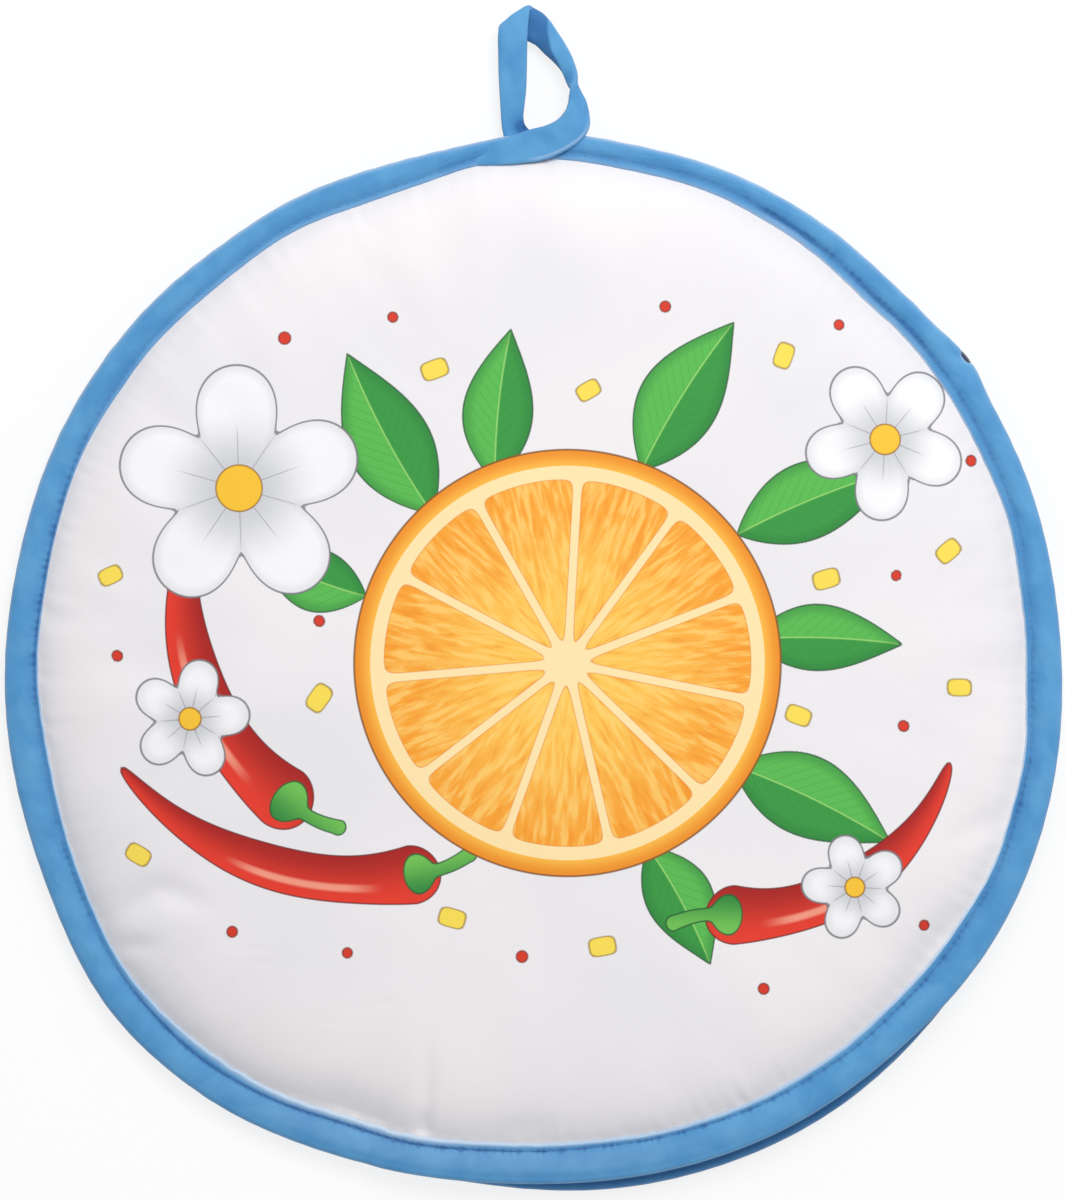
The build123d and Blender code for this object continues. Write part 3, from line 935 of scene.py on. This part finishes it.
def printed_finish():
    """The cover's cloth with the print in it. Each shape is filled where its distance is below nought,
    shaded across, and drawn round with a thin dark line, as a dye print on polyester is."""
    material, tree, shader, tone = cloth_finish("printed cover cloth", *cover_tones)
    mix, step, maths = (partial(make, tree) for make in (blend_colour, ramp, calc))

    def fields(name):
        """The three numbers that the mesh keeps for a shape."""
        return put(tree, "SeparateXYZ", {0: stored(tree, name)}).outputs

    def inside(distance, edge=0.0):
        """1 inside a shape and 0 outside it."""
        return step(distance, edge - 0.14, edge + 0.14, 1.0, 0.0)

    def line(distance, half=0.2):
        """1 on a shape's outline, as far as half its width to either side."""
        return step(maths("ABSOLUTE", distance), half - 0.1, half + 0.16, 1.0, 0.0)

    def both(first, second):
        """Where two masks overlap: their product."""
        return maths("MULTIPLY", first, second)

    def near(value, middle, low, high):
        """1 within low of the middle, and 0 beyond high."""
        return step(maths("ABSOLUTE", maths("SUBTRACT", value, middle)), low, high, 1.0, 0.0)

    def outlined(under, distance, fill, colour, strength=0.85, half=0.2):
        """A filled shape with its outline, over what is under it."""
        return mix(both(line(distance, half), strength), mix(inside(distance), under, fill), colour)

    distance, along, across = fields("leaf")
    green = mix(step(across, -0.7, 0.7), dye(52, 152, 62), dye(88, 186, 78))
    ribs = maths("PINGPONG", maths("MULTIPLY_ADD", maths("ABSOLUTE", across), -1.1, along), 3.4)
    veins = both(line(maths("SUBTRACT", ribs, 1.7), 0.12), step(distance, -2.4, -0.9, 1.0, 0.0))
    green = mix(both(veins, 0.30), green, dye(30, 120, 54))
    green = mix(both(line(across), 0.75), green, dye(158, 218, 116))
    green = mix(step(distance, -3.4, -0.2, 0.0, 0.45), green, dye(30, 116, 52))
    tone = outlined(tone, distance, green, dye(24, 84, 44))
    distance, across, share = fields("chilli")
    red = mix(step(across, -1.0, 0.9), dye(168, 24, 20), dye(230, 56, 36))
    shine = both(near(across, 0.36, 0.06, 0.22), near(share, 0.34, 0.12, 0.26))
    red = mix(both(shine, 0.75), red, dye(252, 172, 146))
    tone = outlined(tone, distance, red, dye(110, 20, 18))
    distance, across = fields("stalk")[:2]
    green = mix(step(across, -0.7, 0.7), dye(46, 140, 58), dye(112, 194, 84))
    tone = outlined(tone, distance, green, dye(24, 84, 44))
    distance, pulp, reach = fields("orange")
    peel = mix(step(distance, -5.5, -0.5), dye(254, 190, 70), dye(240, 146, 34))
    peel = mix(inside(distance, -4.6), peel, dye(255, 229, 172))
    sacs = put(tree, "Mapping", {0: stored(tree, "slice"), 3: (0.62, 0.11, 1.0)}).outputs[0]
    rays = noise(tree, sacs, 1.0, 2.5, 0.4)
    flesh = mix(step(reach, 0.2, 0.86), dye(255, 200, 84), dye(250, 164, 46))
    flesh = mix(step(rays, 0.42, 0.66, 0.0, 0.6), flesh, dye(255, 218, 122))
    flesh = mix(step(rays, 0.28, 0.44, 0.45, 0.0), flesh, dye(240, 138, 28))
    peel = mix(inside(pulp), peel, flesh)
    peel = mix(both(line(pulp, 0.12), 0.55), peel, dye(226, 122, 26))
    tone = outlined(tone, distance, peel, dye(128, 74, 20), half=0.26)
    distance, crease, reach = fields("petal")
    petal = mix(step(reach, 0.15, 0.7), dye(206, 207, 211), dye(246, 246, 247))
    petal = mix(step(distance, -3.0, -0.2, 0.0, 0.35), petal, dye(200, 201, 206))
    streak = both(line(crease, 0.1), step(reach, 0.38, 0.58, 1.0, 0.0))
    petal = mix(both(streak, 0.6), petal, dye(132, 132, 138))
    tone = outlined(tone, distance, petal, dye(112, 112, 116))
    centre, scrap, berry = fields("seed")
    tone = outlined(tone, scrap, dye(250, 222, 84), dye(150, 116, 24), 0.7)
    tone = outlined(tone, berry, dye(216, 56, 34), dye(110, 20, 18), 0.7)
    tone = outlined(tone, centre, dye(248, 196, 50), dye(150, 100, 24), 0.8)
    tree.links.new(tone, shader.inputs["Base Color"])
    return material


print_fields = {name: rows.T for name, rows in drawn.items()}
front_cover = cloth_piece("front_cover_cloth", lay, front_z, printed_finish(), **print_fields)
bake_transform(front_cover)
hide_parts("front_cover", "flap_cover")

# ---------------------------------------------------------------- rim tape
# The blue tape that closes the sewn rim runs on round the front lip in one length. On the sewn part
# it holds both panels, and across the mouth the front one only, so its underside steps up there.
rim_azimuth = np.linspace(loop_azimuth, loop_azimuth + 360, 2000, endpoint=False)[:, None]
corner_notch = 1.25 * around(rim_azimuth, notch_azimuth, 0.8, 4)


def rim_high(azimuth):
    """The tape's top face at the seam, higher where the front lip stands off."""
    return 6.55 + 1.85 * mouth_share(azimuth)


def rim_under(azimuth):
    """The tape's underside."""
    return rim_low + 3.2 * mouth_share(azimuth)


rim_tape = tape_ring(
    "rim_tape", rim_azimuth, rim_radius(rim_azimuth) - lip_setback(rim_azimuth) - corner_notch,
    tape_width(rim_azimuth) - corner_notch, rim_high(rim_azimuth), rim_under(rim_azimuth), gape, True, 91,
)
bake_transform(rim_tape)
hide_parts("rim_binding", "front_mouth_binding")

# ---------------------------------------------------------------- stitching
# One line of blue lockstitch runs all round, about 2 mm in from the tape's inner edges, with the same
# thread on both faces: the rim's and front lip's in one line, and the back lip's on its own.
thread_size = 0.34
stitch_length = 2.05
stitch_dip = 0.3
stitch_slant = 0.12


def thread_finish():
    """Blue polyester thread: a twist runs round it, and painted shade darkens it where the stitches pull
    hardest into the tape.
    """
    material, tree, shader = new_material("blue thread", 0.45, 0.2, 0.4)
    along, girth = put(tree, "SeparateXYZ", {0: stored(tree, "cut")}).outputs[:2]
    twist = calc(tree, "SINE", calc(tree, "MULTIPLY_ADD", along, 22.0, calc(tree, "MULTIPLY", girth, 18.0)))
    tone = blend_colour(tree, ramp(tree, twist, -1.0, 1.0), dye(78, 146, 206), dye(110, 174, 226))
    # Painted shade: up to 0.85 of the way to deep blue, by the threads' shade field.
    sunk = calc(tree, "MULTIPLY", stored(tree, "crease", "Fac"), 0.85)
    tone = blend_colour(tree, sunk, tone, dye(28, 88, 152))
    dress(tree, shader, tone, bump(tree, twist, 0.04, 0.7))
    return material


blue_thread = thread_finish()


def thread_pieces(name, at, ahead, levels, length, sag, sunk):
    """Short threads laid on the tape: on each of its levels, given as heights and the side that is
    outward, 1 up or -1 down. Each is a round bar that dips at its ends: a point at middle + t ahead,
    down by sag t^4, and standing off by its own roundness."""
    up = np.array([0.0, 0.0, 1.0])
    middle = np.concatenate([at + up * height[:, None] for height, side in levels])
    outward = np.concatenate([0 * at + up * side for height, side in levels])
    ahead = np.concatenate([ahead for level in levels])
    t = np.array([-1, -0.82, -0.4, 0, 0.4, 0.82, 1])
    girth = np.array([0.35, 0.85, 1, 1, 1, 0.85, 0.35]) * thread_size / 2
    turn = np.radians(np.arange(0, 360, 60))
    beside = np.cross(ahead, outward)
    line = middle[:, None] + ahead[:, None] * (t * length / 2)[:, None]
    line = line - outward[:, None] * (sag * t**4)[:, None]
    ring = beside[:, None] * np.cos(turn)[:, None] + outward[:, None] * np.sin(turn)[:, None]
    points = line[:, :, None] + ring[:, None] * girth[:, None, None]
    count, long, round_ = points.shape[:3]
    faces = grid_faces(long, round_, False, True)
    ends = np.array([range(round_ - 1, -1, -1), range((long - 1) * round_, long * round_)])
    step = (np.arange(count) * long * round_)[:, None, None]
    every = (faces + step).reshape(-1, 4).tolist() + (ends + step).reshape(-1, round_).tolist()
    wound = np.stack(np.meshgrid(t * length / 2, turn / 6, [0.0], indexing="ij"), -1).reshape(-1, 3)
    # The painted shade of each thread, for every one of its points.
    shade = np.tile(np.broadcast_to(sunk, len(at)), len(levels)).repeat(long * round_)
    return make_piece(name, points, every, blue_thread, cut=np.tile(wound, (count, 1)), crease=shade)


def bearings(azimuth):
    """Outward and onward directions in the plane at each azimuth."""
    turn = np.radians(azimuth)
    zero = 0 * turn
    return np.stack([np.cos(turn), np.sin(turn), zero], -1), np.stack([-np.sin(turn), np.cos(turn), zero], -1)


def stitch_row(name, first, last, edge, high, low, lift, seed):
    """Lockstitch along a tape: a thread from each needle hole to the next, on both faces."""
    number = np.arange(math.ceil(first / stitch_pitch), math.floor(last / stitch_pitch)) + 0.5
    azimuth = (number - stitch_drift(number * stitch_pitch, seed)) * stitch_pitch
    outward, onward = bearings(azimuth)
    sunk = stitch_sink(stitch_wave(azimuth, seed), pull_share(azimuth))
    at = outward * (edge(azimuth) + stitch_inset(azimuth))[:, None]
    at[:, 2] += lift(at[:, 1])
    slant = onward * math.cos(stitch_slant) + outward * math.sin(stitch_slant)
    levels = (high(azimuth) - sunk, 1), (low(azimuth) + sunk, -1)
    # Painted shade on the threads: as much as the stitches pull, plus the painted crease shade.
    shade = np.clip(pull_share(azimuth) + painted_crease_shade_share(azimuth), 0, 1)
    return thread_pieces(name, at, slant, levels, stitch_length, stitch_dip, shade)


def rim_edge(azimuth):
    """The inner edge of the tape round the rim and the front lip."""
    return rim_radius(azimuth) - lip_setback(azimuth) - tape_width(azimuth)


def back_lip_edge(azimuth):
    """The inner edge of the back lip's tape."""
    return rim_radius(azimuth) - tape_width(azimuth) + 0.35


rim_stitches = stitch_row(
    "rim_stitches", loop_azimuth, loop_azimuth + 359.5, rim_edge, rim_high, rim_under, gape, 91
)
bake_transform(rim_stitches)
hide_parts("rim_stitching", "front_mouth_stitching")
back_lip_stitches = stitch_row(
    "back_lip_stitches", mouth_azimuth - mouth_half_angle, mouth_azimuth + mouth_half_angle,
    back_lip_edge, lambda a: back_lip_high + 0 * a, lambda a: rim_low + 0 * a, level, 81,
)
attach(back_lip_stitches, "pouch")
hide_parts("back_mouth_stitching")

# ---------------------------------------------------------------- bartacks
# Short bars of close zigzag over both faces of the tape: one at each corner of the mouth, where it
# would tear first, and one under the loop's lap.
tack_threads = 18
tack_start, tack_end = 3.4, 7.8
tack_width = 1.6


def bartack(name, azimuths, faces):
    """Threads side by side across each bar, which is laid outward from beside the stitch line, on the
    tape's top and underside, or on its underside alone where faces is 1."""
    spots = np.repeat(azimuths, tack_threads)
    reach = np.tile(np.linspace(tack_start, tack_end, tack_threads), len(azimuths))
    outward, onward = bearings(spots)
    at = outward * (rim_edge(spots) + reach)[:, None]
    rise = tape_crown(reach, tape_width(spots), stitch_inset(spots)) + 0.02
    slant = onward + outward * np.where(np.arange(len(spots)) % 2, stitch_slant, -stitch_slant)[:, None]
    slant = slant / np.linalg.norm(slant, axis=1)[:, None]
    levels = (rim_high(spots) + rise, 1), (rim_under(spots) - rise, -1)
    # The bartack threads are darkened by an even 0.4 through the threads' shade field.
    return thread_pieces(name, at, slant, levels[2 - faces:], tack_width, 0.25, 0.4)


mouth_tacks = bartack("mouth_bartack_threads", [197.2, 342.8], faces=2)
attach(mouth_tacks, "pouch")
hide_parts("mouth_bartacks")
loop_tack = bartack("loop_bartack_threads", [35.2], faces=1)
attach(loop_tack, "pouch")
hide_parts("loop_bartack")

# ---------------------------------------------------------------- hanging loop
# The free end of the rim's tape, 8 mm wide, not stitched. It leaves the rim over the tape's own
# start, turns half over on its way up, is folded back at the tip, and comes down to be tucked in
# under its own lap.
loop_thick = 1.8
loop_detail = 330
# Each row: one edge of the tape and then the other, right, up and height with the loop on top, then
# where its ridge lies between the edges, from -1 to 1, and how high the ridge stands.
loop_edges = np.array([
    (-21.5, 149.4, 4.6, -20.8, 144.9, 4.6, 0, 0), (-15.5, 150.7, 6.0, -15.0, 145.2, 6.0, 0, 0),
    (-10.0, 152.4, 7.3, -9.4, 145.3, 7.3, 0, 0), (-5.2, 154.0, 7.9, -3.4, 145.7, 7.9, 0, 0),
    (-0.4, 155.6, 8.2, 3.2, 146.6, 8.1, 0, 0), (3.4, 156.5, 8.6, 9.0, 149.0, 8.0, 0, 0),
    (6.9, 158.1, 8.9, 13.8, 152.2, 7.7, 0, 0), (9.3, 160.7, 9.1, 16.2, 155.6, 7.1, 0, 0),
    (10.3, 163.2, 9.1, 16.4, 159.4, 6.3, 0.2, 0.1), (10.7, 165.3, 8.9, 15.2, 163.6, 5.4, 0.9, 0.3),
    (11.5, 167.6, 8.4, 12.6, 166.8, 4.4, 0.9, 0.6), (12.6, 169.8, 7.5, 11.0, 169.6, 3.5, 0.75, 1.0),
    (12.5, 172.9, 6.5, 9.6, 171.9, 3.0, 0.5, 1.4), (11.3, 176.8, 5.8, 6.4, 175.3, 2.8, 0.25, 1.6),
    (9.3, 180.8, 5.3, 3.3, 178.0, 2.8, 0.05, 1.5), (7.1, 184.2, 5.0, 0.5, 180.6, 2.9, -0.4, 1.1),
    (5.3, 187.0, 4.6, -5.0, 183.0, 3.0, -0.92, 0.6), (3.0, 189.5, 4.2, -8.8, 184.4, 3.2, -1.2, 0.3),
    (0.3, 191.1, 3.9, -9.3, 184.6, 3.7, -1.2, 0), (-0.3, 191.3, 4.6, -9.7, 184.5, 4.5, -1.2, 0),
    (-0.8, 189.8, 5.3, -9.9, 183.8, 5.4, 0, 0), (-1.2, 186.0, 5.6, -10.0, 181.4, 5.7, 0, 0.1),
    (-1.5, 180.3, 5.7, -9.9, 177.4, 5.8, 0.2, 0.25), (-1.6, 173.6, 5.7, -9.8, 171.8, 5.7, 0.2, 0.25),
    (-1.8, 167.4, 5.4, -9.5, 166.0, 5.4, 0.1, 0.2), (-2.3, 162.9, 4.9, -9.2, 160.9, 4.9, 0, 0.1),
    (-2.6, 159.5, 4.0, -8.9, 157.0, 4.4, 0, 0), (-1.9, 157.0, 3.3, -8.3, 153.6, 3.9, 0, 0),
    (1.0, 154.3, 3.0, -7.6, 150.2, 3.6, 0, 0),
])


def laid(right, up):
    """x and y of a place given as right and up of the middle with the loop on top."""
    turn = math.radians(loop_azimuth)
    return right * math.sin(turn) + up * math.cos(turn), up * math.sin(turn) - right * math.cos(turn)


def loop_ribbon(name, rows):
    """A flat tube between two edge lines: at each place along it a rounded oblong, as wide as the
    edges are apart, whose thickness lies across both the edges' line and the tape's direction."""
    lines = through(rows, loop_detail)
    near, far, ridge_at, ridge_high = lines[:, :3], lines[:, 3:6], lines[:, 6:7], lines[:, 7:8]
    middle, span = (near + far) / 2, (far - near) / 2
    face = np.cross(np.gradient(middle, axis=0), span)
    face = face / np.linalg.norm(face, axis=1)[:, None]
    over = np.array([
        1, 0.97, 0.9, 0.8, 0.65, 0.5, 0.35, 0.2, 0.05, -0.1, -0.25, -0.4, -0.55, -0.7, -0.82, -0.9, -0.97, -1,
    ])
    wide = np.concatenate([over, over[-2:0:-1]])
    side = np.sign(len(over) - 0.5 - np.arange(len(wide)))
    reach = np.concatenate([[0], np.cumsum(np.linalg.norm(np.diff(middle, axis=0), axis=1))])[:, None]
    across = np.linalg.norm(span, axis=1)[:, None] * wide
    off = (wide - ridge_at) / np.where(wide > ridge_at, 1 - ridge_at, 1 + ridge_at)
    ridge = ridge_high * (1 - np.sqrt(off**2 + 0.02)) * np.tanh(4 * face[:, 2:])
    bulge = 0.68 * (1 - np.abs(face[:, 2:])) ** 2 - 0.14 * (1 - wide**2)
    thick = (1 - np.abs(wide) ** 3.6) ** 0.4 * (loop_thick / 2 + bulge)
    crumple = 0.10 * swell(reach + 0 * wide, across, 121, 4, 16) * (thick > 0)
    depth = side * (thick + crumple) + ridge
    rings = middle[:, None] + span[:, None] * wide[:, None] + face[:, None] * depth[..., None]

    def at_row(row):
        """How far along the tape a row of its table lies."""
        return reach[int(row * loop_detail / (len(rows) - 1) + 0.5)]

    # Painted highlight: pale along the lap's lower edge, and faintly along both edges of the whole tape.
    lapped = smooth((reach / at_row(3) - 1) / 0.3) * smooth((1 - reach / at_row(9)) / 0.2)
    highlight_paint = 0.16 * np.abs(wide) ** 12 + 0.38 * lapped * bell(wide, 0.8, 0.1)
    # Painted shadow where the tape comes down beside the left leg and tucks under the lap: dark, and half way
    # to near black at its middle.
    tucked = bell(rings[..., 0], -2.2, 2.8) * bell(rings[..., 1], 156.6, 2.2) * (reach > at_row(20))
    # Painted shade over the part of the tape beyond its ridge, from the twist up to the fold, where it is
    # turned from the light.
    shaded = 0.95 * smooth((wide - ridge_at + 0.05) / 0.2) * (reach < at_row(18.3))
    shaded = shaded * np.where(reach < at_row(14), smooth(ridge_high / 0.4), 1)
    flat = np.stack([reach + 0 * wide, across + 30 * (side < 0), 0 * across], -1)
    rings[..., 0], rings[..., 1] = laid(rings[..., 0], rings[..., 1])
    return tube_piece(name, rings, False, cut=flat, crease=np.maximum(shaded, 1.75 * tucked), brim=highlight_paint)


hanging_loop = loop_ribbon("hanging_loop_tape", loop_edges)
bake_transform(hanging_loop)
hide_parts("hanging_loop", "loop_root")

# ---------------------------------------------------------------- floor, light and camera
# A pale floor that keeps the soft shadow, broad light from the loop's side, and a camera straight
# over the pouch with the loop on top. None of them belongs to the pouch.


def floor_finish():
    """White paper: the camera sees mostly its own white, with a share of the real light and shadow."""
    material, tree, shader = new_material("floor paper", 0.9, 0.0, 0.0)
    shader.inputs["Base Color"].default_value = (0.96, 0.96, 0.96, 1)
    glow = put(tree, "Emission", {"Color": (1, 1, 1, 1), "Strength": 1.0})
    share = calc(tree, "MULTIPLY", put(tree, "LightPath").outputs["Is Camera Ray"], 0.8)
    mixed = put(tree, "MixShader", {0: share, 1: shader.outputs[0], 2: glow.outputs[0]})
    tree.links.new(mixed.outputs[0], tree.nodes["Material Output"].inputs["Surface"])
    return material


floor_corners = [(x, y, -0.3) for x, y in ((-2000, -2000), (2000, -2000), (2000, 2000), (-2000, 2000))]
floor = make_piece("floor", floor_corners, [(0, 1, 2, 3)], floor_finish())

world = bpy.data.worlds.new("studio")
bpy.context.scene.world = world
world.use_nodes = True
air = world.node_tree
shown = put(air, "Background", {"Color": (1, 1, 1, 1), "Strength": 1.0})
room = air.nodes["Background"]
room.inputs["Color"].default_value = (0.98, 0.98, 1.0, 1)
room.inputs["Strength"].default_value = 0.5
seen = put(air, "LightPath").outputs["Is Camera Ray"]
mixed = put(air, "MixShader", {0: seen, 1: room.outputs[0], 2: shown.outputs[0]})
air.links.new(mixed.outputs[0], air.nodes["World Output"].inputs["Surface"])

lamp = bpy.data.lights.new("loop_side_lamp", "AREA")
lamp.size = 0.8
lamp.energy = 14.8
lamp_holder = bpy.data.objects.new("loop_side_lamp", lamp)
lamp_holder.location = (*laid(0.29, 0.76), 1.25)
lamp_holder.rotation_mode = "QUATERNION"
lamp_holder.rotation_quaternion = (-Vector(lamp_holder.location)).to_track_quat("-Z", "Y")
bpy.context.scene.collection.objects.link(lamp_holder)

view_length = 0.3456
view_distance = 1.3
lens = bpy.data.cameras.new("camera")
lens.sensor_width = 36
lens.lens = lens.sensor_width * view_distance / view_length
lens.clip_start, lens.clip_end = 0.05, 10
camera = bpy.data.objects.new("camera", lens)
camera.location = (*laid(0.0, 0.0200), view_distance + 0.008)
camera.rotation_euler = (0, 0, math.radians(loop_azimuth - 90))
bpy.context.scene.collection.objects.link(camera)
bpy.context.scene.camera = camera
bpy.context.scene.view_settings.view_transform = "Standard"
